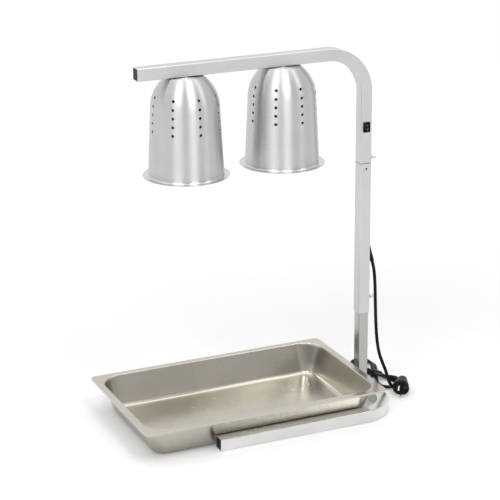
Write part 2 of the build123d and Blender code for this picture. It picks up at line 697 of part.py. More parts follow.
def cord_tube(name, points):
    radii = cord_radii(points)
    path = FilletPolyline(*points, radius=radii)
    tube = sweep(Plane(path @ 0, z_dir=path % 0) * Circle(CORD / 2), path=path)
    print(name, "length", round(path.length, 1), "radii", [round(r, 1) for r in radii])
    print(name, "volume ratio", round(tube.volume / (path.length * math.pi * CORD**2 / 4), 4))
    save(name, tube)
    return path


# Hank: two loops as one tube, two layers, drawn in at the waist
low_z = CORD / 2 + TIE_SHEET + TIE_GAP
high_z = low_z + LAYER_RISE
waist_half = HANK_WAIST / 2
waist_x = HANK_STEP / 2
draw_in = HANK_FOLD - waist_x
outer_x = HANK_FOLD + HANK_STEP
hank_place = Pos(HANK_X, HANK_Y, 0) * Rot(0, 0, HANK_TURN)


def s_bend(start, end, heading):
    """Two equal arcs between points whose runs are parallel."""
    middle_point = (start + end) / 2
    first = Edge.make_tangent_arc(start, heading, middle_point)
    return [first, Edge.make_tangent_arc(middle_point, first % 1, end)]


def fold(x0, x1, z, way):
    """A half turn from one lane to another as two quarter arcs, at one height."""
    y = way * HANK_HALF_RUN
    peak = Vector((x0 + x1) / 2, y + way * abs(x1 - x0) / 2, z)
    across = Vector(math.copysign(1, x1 - x0), 0, 0)
    first = Edge.make_tangent_arc(Vector(x0, y, z), Vector(0, way, 0), peak)
    return [first, Edge.make_tangent_arc(peak, across, Vector(x1, y, z))]


def run(lane, z0, z1, way):
    """A run along a lane from one fold to the other, drawn in at the waist."""
    narrow = lane - math.copysign(draw_in, lane)
    middle_z = (z0 + z1) / 2
    heading = Vector(0, way, 0)
    waist_in = Vector(narrow, -way * waist_half, middle_z)
    waist_out = Vector(narrow, way * waist_half, middle_z)
    first = s_bend(Vector(lane, -way * HANK_HALF_RUN, z0), waist_in, heading)
    last = s_bend(waist_out, Vector(lane, way * HANK_HALF_RUN, z1), heading)
    return first + [Edge.make_line(waist_in, waist_out)] + last


entry = math.radians(HANK_ENTRY)
entry_dir = Vector(math.sin(entry), math.cos(entry), 0)
turn_start = Vector(outer_x * math.cos(entry), -HANK_HALF_RUN - outer_x * math.sin(entry), low_z)
edges = [Edge.make_line(turn_start - entry_dir * CORD, turn_start)]
edges.append(Edge.make_tangent_arc(turn_start, entry_dir, Vector(outer_x, -HANK_HALF_RUN, low_z)))
edges += run(outer_x, low_z, low_z, 1)
edges += fold(outer_x, -HANK_FOLD, low_z, 1)
edges += run(-HANK_FOLD, low_z, low_z, -1)
edges += fold(-HANK_FOLD, HANK_FOLD, low_z, -1)
edges += run(HANK_FOLD, low_z, high_z, 1)
edges += fold(HANK_FOLD, -HANK_FOLD, high_z, 1)
edges += run(-HANK_FOLD, high_z, high_z, -1)[:3]
hank_path = hank_place * Wire(edges)
hank = sweep(Plane(hank_path @ 0, z_dir=hank_path % 0) * Circle(CORD / 2), path=hank_path)
save("cord_hank", hank)

# Least gap of the hank to itself, on points along its path
count = int(hank_path.length / 2)
trail = [hank_path @ (i / count) for i in range(count + 1)]
near = int(3 * CORD / (hank_path.length / count))
least = min(
    (trail[i] - trail[j]).length for i in range(count + 1) for j in range(i + near, count + 1)
)
print("hank length", round(hank_path.length, 1), "least gap to itself", round(least - CORD, 2))
print("hank volume ratio", round(hank.volume / (hank_path.length * math.pi * CORD**2 / 4), 4))

# Tie: a flat band round the strands at the waist
strands = [(-waist_x, low_z), (waist_x + HANK_STEP, low_z), (-waist_x, high_z)]
hoop = Sketch() + [Pos(x, z) * Circle(CORD / 2 + TIE_GAP) for x, z in strands]
inner_hoop = make_hull(hoop.edges())
outer_hoop = offset(inner_hoop, TIE_SHEET)
band_plane = Plane((0, TIE_WIDTH / 2, 0), x_dir=(1, 0, 0), z_dir=(0, -1, 0))
save("cord_tie", hank_place * extrude(band_plane * (outer_hoop - inner_hoop), amount=TIE_WIDTH))

# Hanging stretch from the strain relief down to the hank
hank_mouth = hank_path @ 0
drop_points = [tuple(gland_tip), tuple(gland_tip + gland_dir * DROP_LEAD)]
drop_points += list(DROP_POINTS)
drop_points += [tuple(hank_mouth - (hank_path % 0) * LANDING_RUN), tuple(hank_mouth)]
drop_path = cord_tube("cord_drop", drop_points)

# Plug: round earthed body lying on its face's edge, with a slanting boot
boot_dir = Vector(*PLUG_BOOT_DIR).normalized()
pin_dir = Vector(*PLUG_PIN_DIR).normalized()
boot_side = (boot_dir - pin_dir * boot_dir.dot(pin_dir)).normalized()
mouth = Vector(*PLUG_MOUTH)
boot_root = mouth - boot_dir * BOOT_LENGTH
face_centre = boot_root + pin_dir * PLUG_AXIS_DEPTH
face_plane = Plane(face_centre, x_dir=boot_side, z_dir=pin_dir)
plug = extrude(face_plane * Circle(PLUG_FACE_RADIUS), amount=-PLUG_FACE_DEPTH)
plug += loft(
    [
        face_plane.offset(-PLUG_FACE_DEPTH) * Circle(PLUG_FACE_RADIUS),
        face_plane.offset(-PLUG_DEPTH) * Circle(PLUG_BACK_RADIUS),
    ]
)
boot_plane = Plane(boot_root, z_dir=boot_dir)
boot_tip = boot_plane.offset(BOOT_LENGTH) * Circle(BOOT_TIP_RADIUS)
plug += loft([boot_plane * Circle(BOOT_ROOT_RADIUS), boot_tip])
pin_spots = [face_plane * Pos(0, y, 0) for y in (-PIN_SPREAD, PIN_SPREAD)]
inward = (Align.CENTER, Align.CENTER, Align.MAX)
socket = Cylinder(PIN_RADIUS + FIT_GAP, PIN_ROOT, align=inward)
plug -= [spot * socket for spot in pin_spots]
earth_spot = face_plane * Pos(-EARTH_OFFSET, 0, 0)
plug -= earth_spot * Cylinder(EARTH_RADIUS + FIT_GAP, EARTH_DEPTH, align=inward)
flush = (Align.MAX, Align.CENTER, Align.MAX)
clip = Box(CLIP_THICK, CLIP_WIDTH, CLIP_LENGTH, align=flush)
slot = Box(CLIP_THICK + FIT_GAP, CLIP_WIDTH + 2 * FIT_GAP, CLIP_LENGTH, align=flush)
clip_spots = [face_plane * Rot(0, 0, a) * Pos(PLUG_FACE_RADIUS, 0, 0) for a in (0, 180)]
plug -= [spot * slot for spot in clip_spots]
save("plug_body", plug)
pin = Cylinder(PIN_RADIUS, PIN_LENGTH + PIN_ROOT, align=(Align.CENTER, Align.CENTER, Align.MIN))
pin = fillet(pin.edges().sort_by(Axis.Z)[-1], PIN_RADIUS * 0.8)
pins = [spot * Pos(0, 0, -PIN_ROOT) * pin for spot in pin_spots]
save("plug_pins", Compound(children=pins))
ring = Circle(EARTH_RADIUS) - Circle(EARTH_RADIUS - CLIP_THICK / 2)
earth_ring = earth_spot * extrude(ring, amount=-EARTH_DEPTH)
clips = [spot * clip for spot in clip_spots]
save("plug_earth", Compound(children=clips + [earth_ring]))

# Tail from the hank's end up into the plug's boot
hank_end = hank_path @ 1
first_bend = hank_end + (hank_path % 1) * TAIL_RUN
last_bend = mouth + boot_dir * TAIL_RUN
span = last_bend - first_bend
level_span = Vector(span.X, span.Y, 0) / 3
lift = Vector(0, 0, span.Z)
tail_points = [
    tuple(hank_end),
    tuple(first_bend),
    tuple(first_bend + level_span + lift * TAIL_LIFT),
    tuple(last_bend - level_span - lift * TAIL_LIFT),
    tuple(last_bend),
    tuple(mouth),
]
tail_path = cord_tube("cord_tail", tail_points)
total = drop_path.length + hank_path.length + tail_path.length
print("cord length in sight", round(total, 1))
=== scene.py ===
import math

import bmesh
import bpy
from mathutils import Matrix, Vector


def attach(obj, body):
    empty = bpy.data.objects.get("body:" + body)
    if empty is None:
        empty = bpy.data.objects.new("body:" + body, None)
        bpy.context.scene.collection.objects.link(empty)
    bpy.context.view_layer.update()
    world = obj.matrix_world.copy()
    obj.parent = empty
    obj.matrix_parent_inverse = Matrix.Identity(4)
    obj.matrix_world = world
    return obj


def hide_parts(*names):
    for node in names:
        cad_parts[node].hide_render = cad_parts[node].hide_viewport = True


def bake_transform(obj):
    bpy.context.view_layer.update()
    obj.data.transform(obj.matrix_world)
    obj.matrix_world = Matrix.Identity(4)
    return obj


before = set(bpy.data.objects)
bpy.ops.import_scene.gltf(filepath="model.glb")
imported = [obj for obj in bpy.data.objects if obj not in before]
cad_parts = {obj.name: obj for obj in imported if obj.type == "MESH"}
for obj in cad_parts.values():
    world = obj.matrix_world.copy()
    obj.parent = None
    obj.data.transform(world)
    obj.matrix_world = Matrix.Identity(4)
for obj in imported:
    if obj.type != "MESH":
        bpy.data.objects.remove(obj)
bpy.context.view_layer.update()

# Base tube: one length of bright polished stainless square tube, bent to a U that lies
# flat on the counter. Fine drawing lines run along it and it is rubbed a little duller
# in patches. It is made as one piece and carries the post on its cross bar.
BASE_BRIGHT = (0.79, 0.79, 0.77)
BASE_DULL = (0.69, 0.69, 0.67)
BASE_LINE_PITCH = 900.0
BASE_LINE_STRETCH = 0.012
LEG_FROM = 0.085
LEG_TO = 0.125
GRAIN_DEPTH = 0.0002
NOISE_BODY = (0.35, 0.65)
NOISE_PEAKS = (0.56, 0.70)


class Tone:
    """A value in a material: its operators add Math nodes, and add() makes any other node."""

    def __init__(self, tree, socket=None):
        self.tree = tree
        self.socket = socket

    def add(self, kind, settings=None, inputs=None, out=0):
        node = self.tree.nodes.new("ShaderNode" + kind)
        for key, value in (settings or {}).items():
            setattr(node, key, value)
        for key, value in (inputs or {}).items():
            if isinstance(value, Tone):
                self.tree.links.new(value.socket, node.inputs[key])
            else:
                node.inputs[key].default_value = value
        return Tone(self.tree, node.outputs[out])

    def math(self, operation, a, b=0.0):
        return self.add("Math", {"operation": operation}, {0: a, 1: b})

    def __add__(self, other):
        return self.math("ADD", self, other)

    def __sub__(self, other):
        return self.math("SUBTRACT", self, other)

    def __mul__(self, other):
        return self.math("MULTIPLY", self, other)

    __radd__ = __add__
    __rmul__ = __mul__

    def __rsub__(self, other):
        return self.math("SUBTRACT", other, self)

    def __abs__(self):
        return self.math("ABSOLUTE", self)

    def band(self, low, high, start=0.0, end=1.0):
        """This value spread smoothly from one range to another."""
        limits = {1: low, 2: high, 3: start, 4: end}
        return self.add("MapRange", {"interpolation_type": "SMOOTHSTEP"}, {0: self, **limits})

    def axes(self):
        """The X, Y and Z of this vector."""
        split = self.add("SeparateXYZ", None, {0: self})
        return [Tone(self.tree, s) for s in split.socket.node.outputs]

    def grain(self, scale, stretch=(1, 1, 1), detail=3.0, rough=0.6):
        """Noise on this vector, stretched along its axes."""
        place = self.add("Mapping", None, {"Vector": self, "Scale": stretch})
        noise = {"Vector": place, "Scale": scale, "Detail": detail, "Roughness": rough}
        return self.add("TexNoise", None, noise)

    def tint(self, low, high):
        """A colour between two, by this value. Either may be a colour made before."""
        ends = {6: low, 7: high}
        given = {k: v if isinstance(v, Tone) else (*v, 1) for k, v in ends.items()}
        return self.add("Mix", {"data_type": "RGBA"}, {0: self, **given}, out=2)

    def bump(self, strength, depth):
        """A normal that this value raises and sinks."""
        return self.add("Bump", None, {"Strength": strength, "Distance": depth, "Height": self})


class Finish:
    """A procedural material: its shader and the piece's own coordinates."""

    def __init__(self, name, **constants):
        self.material = bpy.data.materials.new(name)
        self.material.use_nodes = True
        self.tree = self.material.node_tree
        self.shader = self.tree.nodes["Principled BSDF"]
        for key, value in constants.items():
            self.shader.inputs[key.replace("_", " ")].default_value = value
        self.place = Tone(self.tree).add("TexCoord", out=3)
        self.facing = Tone(self.tree, self.place.socket.node.outputs["Normal"])

    def feed(self, **values):
        """Links values to the shader's sockets."""
        for key, value in values.items():
            self.tree.links.new(value.socket, self.shader.inputs[key.replace("_", " ")])

    def on(self, *nodes):
        """Gives this finish to nodes of the frame."""
        for node in nodes:
            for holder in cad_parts[node].material_slots:
                holder.material = self.material


polished = Finish("polished_tube", Metallic=1.0)
_, y, _ = polished.place.axes()
along_leg = abs(y).band(LEG_FROM, LEG_TO)
leg_lines = polished.place.grain(BASE_LINE_PITCH, (BASE_LINE_STRETCH, 1, 1))
bar_lines = polished.place.grain(BASE_LINE_PITCH, (1, BASE_LINE_STRETCH, 1))
lines = leg_lines * along_leg + bar_lines * (1 - along_leg)
patches = polished.place.grain(14.0, (0.5, 1, 1), detail=4.0)
scuffs = polished.place.grain(70.0, (0.3, 1, 1), detail=6.0).band(*NOISE_PEAKS)
polished.feed(
    Base_Color=(patches * 0.7 + lines * 0.3).band(*NOISE_BODY).tint(BASE_DULL, BASE_BRIGHT),
    Roughness=lines * 0.10 + patches * 0.12 + scuffs * 0.10 + 0.06,
    Normal=lines.bump(0.10, GRAIN_DEPTH),
)
polished.on("base_tube")

# End plugs and switch: moulded black nylon cups pressed flush into the open tube ends, and
# the switch's housing and rocker, all with the fine sparked texture of their mould.
NYLON_BLACK = (0.004, 0.004, 0.0045)
NYLON_GREY = (0.011, 0.011, 0.012)
NOISE_LOW = (0.35, 0.7)
moulded = Finish("moulded_nylon", Specular_IOR_Level=0.15)
spark = moulded.place.grain(1800.0, detail=2.0)
handled = moulded.place.grain(60.0, detail=5.0)
moulded.feed(
    Base_Color=(spark * 0.5 + handled * 0.5).band(*NOISE_LOW).tint(NYLON_BLACK, NYLON_GREY),
    Roughness=handled * 0.25 + 0.30,
    Normal=spark.bump(0.25, GRAIN_DEPTH),
)
moulded.on("base_plug_front", "base_plug_rear", "arm_end_plug", "switch_body", "switch_rocker")

# Lower post: slimmer drawn stainless tube welded upright on the base's cross bar. Its
# drawing lines run up and down, and it is a little darker than the tubes above it.
POST_DULL = (0.405, 0.405, 0.40)
POST_BRIGHT = (0.495, 0.495, 0.485)
upright = Finish("drawn_post", Metallic=1.0)
post_lines = upright.place.grain(1000.0, (1, 1, 0.01))
post_smears = upright.place.grain(26.0, (1, 1, 0.25), detail=4.0)
post_tone = (post_lines * 0.4 + post_smears * 0.6).band(*NOISE_BODY)
upright.feed(
    Base_Color=post_tone.tint(POST_DULL, POST_BRIGHT),
    Roughness=post_lines * 0.12 + post_smears * 0.10 + 0.09,
    Normal=post_lines.bump(0.12, GRAIN_DEPTH),
)
upright.on("lower_post")

# Weld beads: one bead of fused steel along the front and back of the lower post's foot,
# laid in overlapping scales and tinted brown to straw by the heat.
BEAD_HALF = 0.0088
BEAD_SCALES = 13
BEAD_OUT = 0.0122
BEAD_UP = 0.0262
SCALE_RADIUS = 0.0019
SCALE_SHAPE = (0.75, 1.15, 1.0)
SCALE_LEAN = 0.6
SCALE_ROLL = 0.35
SCALE_ROUNDNESS = 3
TINT_FROM = 0.0245
TINT_TO = 0.029
WELD_BROWN = (0.30, 0.25, 0.20)
WELD_PALE = (0.55, 0.53, 0.50)
WELD_DEPTH = 0.0003


class Recipe:
    """A Geometry Nodes tree with named sizes, baked to a plain mesh."""

    def __init__(self, name, **sizes):
        self.group = bpy.data.node_groups.new(name, "GeometryNodeTree")
        self.sizes = sizes
        face = self.group.interface
        face.new_socket("Geometry", in_out="INPUT", socket_type="NodeSocketGeometry")
        face.new_socket("Geometry", in_out="OUTPUT", socket_type="NodeSocketGeometry")
        for key, value in sizes.items():
            kind = "NodeSocketInt" if isinstance(value, int) else "NodeSocketFloat"
            face.new_socket(key, in_out="INPUT", socket_type=kind)
        self.given = self.group.nodes.new("NodeGroupInput")

    def size(self, name):
        return self.given.outputs[name]

    def add(self, kind, settings=None, inputs=None, out=0):
        node = self.group.nodes.new(kind)
        for key, value in (settings or {}).items():
            setattr(node, key, value)
        for key, value in (inputs or {}).items():
            if isinstance(value, bpy.types.NodeSocket):
                self.group.links.new(value, node.inputs[key])
            else:
                node.inputs[key].default_value = value
        return node.outputs[out]

    def times(self, a, b):
        return self.add("ShaderNodeMath", {"operation": "MULTIPLY"}, {0: a, 1: b})

    def spot(self, across, along, up):
        return self.add("ShaderNodeCombineXYZ", None, {0: across, 1: along, 2: up})

    def close(self, shape, material):
        """Ends the tree in real faces of one finish."""
        real = self.add("GeometryNodeRealizeInstances", None, {0: shape})
        last = self.add("GeometryNodeSetMaterial", None, {"Geometry": real, "Material": material})
        self.group.links.new(last, self.group.nodes.new("NodeGroupOutput").inputs[0])

    def bake(self, obj, **changes):
        """Runs the tree on the object, with some sizes changed, and keeps its mesh."""
        modifier = obj.modifiers.new(self.group.name, "NODES")
        modifier.node_group = self.group
        sizes = {**self.sizes, **changes}
        for item in self.group.interface.items_tree:
            if item.in_out == "INPUT" and item.name in sizes:
                modifier[item.identifier] = sizes[item.name]
        bpy.context.view_layer.update()
        evaluated = obj.evaluated_get(bpy.context.evaluated_depsgraph_get())
        mesh = bpy.data.meshes.new_from_object(evaluated)
        obj.modifiers.clear()
        obj.data = mesh
        return obj


def piece(name, mesh=None):
    """A new object in the scene, at the origin."""
    obj = bpy.data.objects.new(name, mesh or bpy.data.meshes.new(name))
    bpy.context.scene.collection.objects.link(obj)
    return obj


def settle(obj, body, slot, *nodes):
    """Smooths the piece, rides it on its body and hides the nodes it stands for; slot is not used."""
    for face in obj.data.polygons:
        face.use_smooth = True
    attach(obj, body)
    if nodes:
        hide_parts(*nodes)


weld = Finish("weld_bead", Metallic=1.0)
_, _, weld_z = weld.place.axes()
weld_speck = weld.place.grain(700.0, detail=4.0)
heat = weld_z.band(TINT_FROM, TINT_TO)
weld.feed(
    Base_Color=(weld_speck * 0.8 + heat * 0.2).tint(WELD_BROWN, WELD_PALE),
    Roughness=weld_speck * 0.3 + 0.25,
    Normal=weld_speck.bump(0.3, WELD_DEPTH),
)
bead = Recipe(
    "weld_scales", Half=BEAD_HALF, Count=BEAD_SCALES, Out=BEAD_OUT, Up=BEAD_UP, Scale=SCALE_RADIUS
)
left_end = bead.times(bead.size("Half"), -1.0)
rows = bead.add("GeometryNodeJoinGeometry")
ball = {"Radius": bead.size("Scale"), "Subdivisions": SCALE_ROUNDNESS}
one_scale = bead.add("GeometryNodeMeshIcoSphere", None, ball)
one_scale = bead.add("GeometryNodeTransform", None, {0: one_scale, "Scale": SCALE_SHAPE})
for side in (-1.0, 1.0):
    out_y = bead.times(bead.size("Out"), side)
    start = bead.spot(left_end, out_y, bead.size("Up"))
    end = bead.spot(bead.size("Half"), out_y, bead.size("Up"))
    ends = {"Count": bead.size("Count"), "Start Location": start, "Offset": end}
    row = bead.add("GeometryNodeMeshLine", {"mode": "END_POINTS"}, ends)
    turn = bead.add("FunctionNodeInputVector", {"vector": (SCALE_LEAN * side, SCALE_ROLL, 0.0)})
    laid = {"Points": row, "Instance": one_scale, "Rotation": turn}
    laid = bead.add("GeometryNodeInstanceOnPoints", None, laid)
    bead.group.links.new(laid, rows.node.inputs[0])
bead.close(rows, weld.material)
welds = bead.bake(piece("weld_beads"))
settle(welds, "base", "base_steel", "post_welds")

# Middle post, spigot and arm: satin stainless square tube, brushed along its length. The
# middle tube slides over the lower post, and the arm is bent over the pan from one length.
# The seam between the two is painted dark, as painted shade in the gap.
ARM_LEVEL = 0.7398
ARM_TURN = 0.085
SEAM_UP = 0.506
SEAM_CORE = 0.0004
SEAM_HALF = 0.0010
SEAM_SHADE = (0.16, 0.16, 0.155)
SATIN_LIGHT = (0.635, 0.64, 0.635)
SATIN_DARK = (0.567, 0.572, 0.567)
PRINT_PEAKS = (0.58, 0.72)
satin = Finish("satin_tube", Metallic=1.0)
_, _, z = satin.place.axes()
level = z.band(ARM_LEVEL - ARM_TURN, ARM_LEVEL - ARM_TURN / 4)
rising = satin.place.grain(1100.0, (1, 1, 0.008))
reaching = satin.place.grain(1100.0, (0.008, 1, 1))
brushing = reaching * level + rising * (1 - level)
clouds = satin.place.grain(9.0, (1, 1, 0.6), detail=5.0)
prints = satin.place.grain(38.0, detail=6.0, rough=0.7).band(*PRINT_PEAKS)
# Painted shade: a thin dark line along the seam between the middle tube and the arm.
seam = abs(z - SEAM_UP).band(SEAM_CORE, SEAM_HALF)
brushed = (brushing * 0.45 + clouds * 0.55).band(*NOISE_BODY).tint(SATIN_DARK, SATIN_LIGHT)
satin.feed(
    Base_Color=seam.tint(SEAM_SHADE, brushed),
    Roughness=brushing * 0.16 + clouds * 0.1 + prints * 0.06 + 0.27,
    Normal=brushing.bump(0.1, GRAIN_DEPTH),
)
satin.on("middle_post", "spigot", "arm_tube")

# Rivet: a blind rivet set through the middle tube into the spigot, plain bright steel, with
# the hole down its middle painted black as painted shade.
RIVET_UP = 0.495
BORE_SHADE_FROM = 0.0018
BORE_SHADE_TO = 0.0021
BORE_SHADE_BLACK = (0.004, 0.004, 0.004)
NOISE_WIDE = (0.3, 0.7)
riveted = Finish("blind_rivet")
x, _, z = riveted.place.axes()
from_axis = x.math("SQRT", x * x + (z - RIVET_UP) * (z - RIVET_UP))
# Painted shade: black, not metal, in the hole down the rivet's middle.
head = from_axis.band(BORE_SHADE_FROM, BORE_SHADE_TO)
knocks = riveted.place.grain(520.0, detail=4.0)
head_tone = knocks.band(*NOISE_WIDE).tint(SATIN_DARK, SATIN_LIGHT)
riveted.feed(
    Base_Color=head.tint(BORE_SHADE_BLACK, head_tone),
    Metallic=head,
    Roughness=0.8 - head * 0.5 + knocks * 0.15,
    Normal=knocks.bump(0.15, GRAIN_DEPTH),
)
riveted.on("spigot_rivet")

# Clamp nuts, nipples and stems: plain bright steel, the nuts welded over the screw holes.
# Clamp screws: nickel plated, their heads fluted for the fingers.
STEEL_GREY = (0.42, 0.42, 0.41)
STEEL_BRIGHT = (0.62, 0.62, 0.61)
NICKEL_DULL = (0.74, 0.73, 0.70)
NICKEL_BRIGHT = (0.90, 0.89, 0.86)
bright = Finish("bright_steel", Metallic=1.0)
dents = bright.place.grain(420.0, detail=4.0)
bright.feed(
    Base_Color=dents.band(*NOISE_WIDE).tint(STEEL_GREY, STEEL_BRIGHT),
    Roughness=dents * 0.2 + 0.16,
    Normal=dents.bump(0.15, GRAIN_DEPTH),
)
bright.on("lower_clamp_nut", "upper_clamp_nut")
nickel = Finish("bright_nickel", Metallic=1.0)
handled = nickel.place.grain(500.0, detail=4.0)
nickel.feed(
    Base_Color=handled.band(*NOISE_WIDE).tint(NICKEL_DULL, NICKEL_BRIGHT),
    Roughness=handled * 0.2 + 0.28,
    Normal=handled.bump(0.1, GRAIN_DEPTH),
)
nickel.on("lower_thumb_screw", "upper_thumb_screw")
for part in ("lamp_nipple", "arm_nut", "bulb_mount"):
    bright.on(part + "_left", part + "_right")

# Switch marks: the usual bar for on and ring for off, printed in pale ink on the two ends of
# the rocker. Thumbs have worn the ink a little, and the marks tilt with the rocker.
SWITCH_UP = 0.5827
MARK_APART = 0.0041
MARK_LIFT = 0.00004
BAR_WIDE = 0.0006
BAR_TALL = 0.0027
RING_OUTER = 0.00145
RING_INNER = 0.00095
RING_SIDES = 24
INK_WORN = (0.30, 0.30, 0.30)
INK_PALE = (0.62, 0.62, 0.61)
INK_WEAR = (0.35, 0.6)
LOOK_FROM = -0.05


def on_rocker(across, up):
    """The place on the rocker's face straight in front of a point."""
    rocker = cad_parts["switch_rocker"]
    _, spot, _, _ = rocker.ray_cast((across, LOOK_FROM, up), (0, 1, 0))
    return spot - Vector((0, MARK_LIFT, 0))


inked = Finish("pale_ink", Specular_IOR_Level=0.3)
worn = inked.place.grain(2600.0, detail=3.0)
inked.feed(
    Base_Color=worn.band(*INK_WEAR).tint(INK_WORN, INK_PALE),
    Roughness=worn * 0.3 + 0.4,
)
marks = bmesh.new()
bar_up = SWITCH_UP + MARK_APART
corners = [(-1, -1), (1, -1), (1, 1), (-1, 1)]
bar = [on_rocker(a * BAR_WIDE / 2, bar_up + b * BAR_TALL / 2) for a, b in corners]
marks.faces.new([marks.verts.new(spot) for spot in bar])
ring_up = SWITCH_UP - MARK_APART
angles = [i * math.tau / RING_SIDES for i in range(RING_SIDES)]
spokes = [(math.cos(angle), math.sin(angle)) for angle in angles]
outer = [marks.verts.new(on_rocker(c * RING_OUTER, ring_up + s * RING_OUTER)) for c, s in spokes]
inner = [marks.verts.new(on_rocker(c * RING_INNER, ring_up + s * RING_INNER)) for c, s in spokes]
for i in range(RING_SIDES):
    j = (i + 1) % RING_SIDES
    marks.faces.new((outer[i], outer[j], inner[j], inner[i]))
mark_mesh = bpy.data.meshes.new("switch_marks")
marks.to_mesh(mark_mesh)
marks.free()
mark_mesh.materials.append(inked.material)
settle(piece("switch_marks", mark_mesh), "rocker", "black_plastic")

# Leads: wires in heat-proof sheaths of plaited white glass yarn. One runs up inside the post
# from the strain relief to the switch, the other through the arm to both lamps.
YARN_SHADED = (0.62, 0.60, 0.55)
YARN_WHITE = (0.85, 0.84, 0.80)
YARN_DEPTH = 0.0004
sheath = Finish("plaited_sheath", Roughness=0.8)
wave = {"Vector": sheath.place, "Scale": 260.0, "Distortion": 1.5}
plait = sheath.place.add("TexWave", {"bands_direction": "DIAGONAL"}, wave)
sheath.feed(
    Base_Color=plait.tint(YARN_SHADED, YARN_WHITE),
    Normal=plait.bump(0.4, YARN_DEPTH),
)
sheath.on("supply_lead", "lamp_lead")

# Shades: spun aluminium domes on steep cones with a turned-out mouth, brushed round while
# they turned on the lathe, so light draws out in bands from top to bottom. Inside they are
# painted dark as painted shade, and the rim of the mouth is painted lighter as a painted highlight.
LAMP_AXES = {"left": -0.3928, "right": -0.1848}
SHADE_LIGHT = (0.635, 0.64, 0.63)
SHADE_DARK = (0.565, 0.57, 0.56)
RIM_PAINTED_HIGHLIGHT = (0.66, 0.66, 0.65)
RIM_TOP = 0.5345
RIM_FADE = 0.003
INSIDE_PAINTED_SHADE = (0.055, 0.05, 0.045)
SHADE_UPWARD = 0.02
SHADE_EDGE = 0.0005
between = sum(LAMP_AXES.values()) / 2
apart = (LAMP_AXES["right"] - LAMP_AXES["left"]) / 2
spun = Finish("spun_aluminium", Metallic=1.0, Anisotropic=0.95, Anisotropic_Rotation=0.25)
x, y, z = spun.place.axes()
face_x, face_y, face_z = spun.facing.axes()
side = x.math("SIGN", x - between)
out_x = (x - between) * side - apart
outward = out_x * side * face_x + y * face_y + face_z * SHADE_UPWARD
outward = outward.band(-SHADE_EDGE, SHADE_EDGE)
rings = spun.place.grain(1400.0, (0.01, 0.01, 1), detail=4.0)
haze = spun.place.grain(16.0, detail=4.0)
# The rim of the mouth is smoother, and painted lighter as a painted highlight.
rim = z.band(RIM_TOP - RIM_FADE, RIM_TOP, 1.0, 0.0)
skin = (rings * 0.4 + haze * 0.6).band(*NOISE_WIDE).tint(SHADE_DARK, SHADE_LIGHT)
# Painted shade on the faces that look inwards; painted highlight on the rim of the mouth.
spun.feed(
    Base_Color=rim.tint(outward.tint(INSIDE_PAINTED_SHADE, skin), RIM_PAINTED_HIGHLIGHT),
    Roughness=rings * 0.08 + haze * 0.08 + 0.33 - rim * 0.15 + (1 - outward) * 0.25,
    Normal=rings.bump(0.04, GRAIN_DEPTH),
)
spun.on("shade_left", "shade_right", "shade_spacer_left", "shade_spacer_right")

# Vent lips: the punch leaves a thin rounded lip round each vent hole, in eight columns of five
# on each shade. The wall's radius and its lean are given for each row, from the top down.
VENT_COLUMNS = 8
VENT_LIP = 0.00312
VENT_LIP_SIDES = 20
VENT_WIRE = 0.00022
VENT_WIRE_SIDES = 6
VENT_TURN = {"left": math.radians(2.5), "right": math.radians(10.0)}
VENT_TOP = 0.6907
VENT_STEP = 0.01665
VENT_WALL = [(0.06384, 19.9), (0.06780, 6.8), (0.06879, 2.9), (0.06964, 2.9), (0.07049, 2.9)]
punch = Recipe("vent_lips", Columns=VENT_COLUMNS, Axis=0.0, Turn=0.0, Lip=VENT_LIP, Wire=VENT_WIRE)
hoop = {"Resolution": VENT_LIP_SIDES, "Radius": punch.size("Lip")}
hoop = punch.add("GeometryNodeCurvePrimitiveCircle", None, hoop)
edge = {"Resolution": VENT_WIRE_SIDES, "Radius": punch.size("Wire")}
edge = punch.add("GeometryNodeCurvePrimitiveCircle", None, edge)
lip = punch.add("GeometryNodeCurveToMesh", None, {"Curve": hoop, "Profile Curve": edge})
lip = punch.add("GeometryNodeTransform", None, {0: lip, "Rotation": (0.0, math.pi / 2, 0.0)})
tilt = punch.add("GeometryNodeInputNamedAttribute", {"data_type": "FLOAT"}, {"Name": "tilt"})
lean = punch.spot(0.0, tilt, 0.0)
column = {"Points": punch.given.outputs["Geometry"], "Instance": lip, "Rotation": lean}
column = punch.add("GeometryNodeInstanceOnPoints", None, column)
centre = punch.spot(punch.size("Axis"), 0.0, 0.0)
stations = {"Count": punch.size("Columns"), "Position": centre}
stations = punch.add("GeometryNodePoints", None, stations)
turn_share = {0: math.tau, 1: punch.size("Columns")}
share = punch.add("ShaderNodeMath", {"operation": "DIVIDE"}, turn_share)
step = punch.times(punch.add("GeometryNodeInputIndex"), share)
swing = punch.add("ShaderNodeMath", {"operation": "ADD"}, {0: step, 1: punch.size("Turn")})
round_shade = {"Points": stations, "Instance": column, "Rotation": punch.spot(0.0, 0.0, swing)}
punch.close(punch.add("GeometryNodeInstanceOnPoints", None, round_shade), spun.material)
for lamp, axis in LAMP_AXES.items():
    holes = bpy.data.meshes.new("vent_lips_" + lamp)
    spots = [(radius, 0.0, VENT_TOP - row * VENT_STEP) for row, (radius, _) in enumerate(VENT_WALL)]
    holes.from_pydata(spots, [], [])
    leans = holes.attributes.new("tilt", "FLOAT", "POINT")
    leans.data.foreach_set("value", [-math.radians(angle) for _, angle in VENT_WALL])
    lips = punch.bake(piece("vent_lips_" + lamp, holes), Axis=axis, Turn=VENT_TURN[lamp])
    settle(lips, "arm", "shade_aluminium")

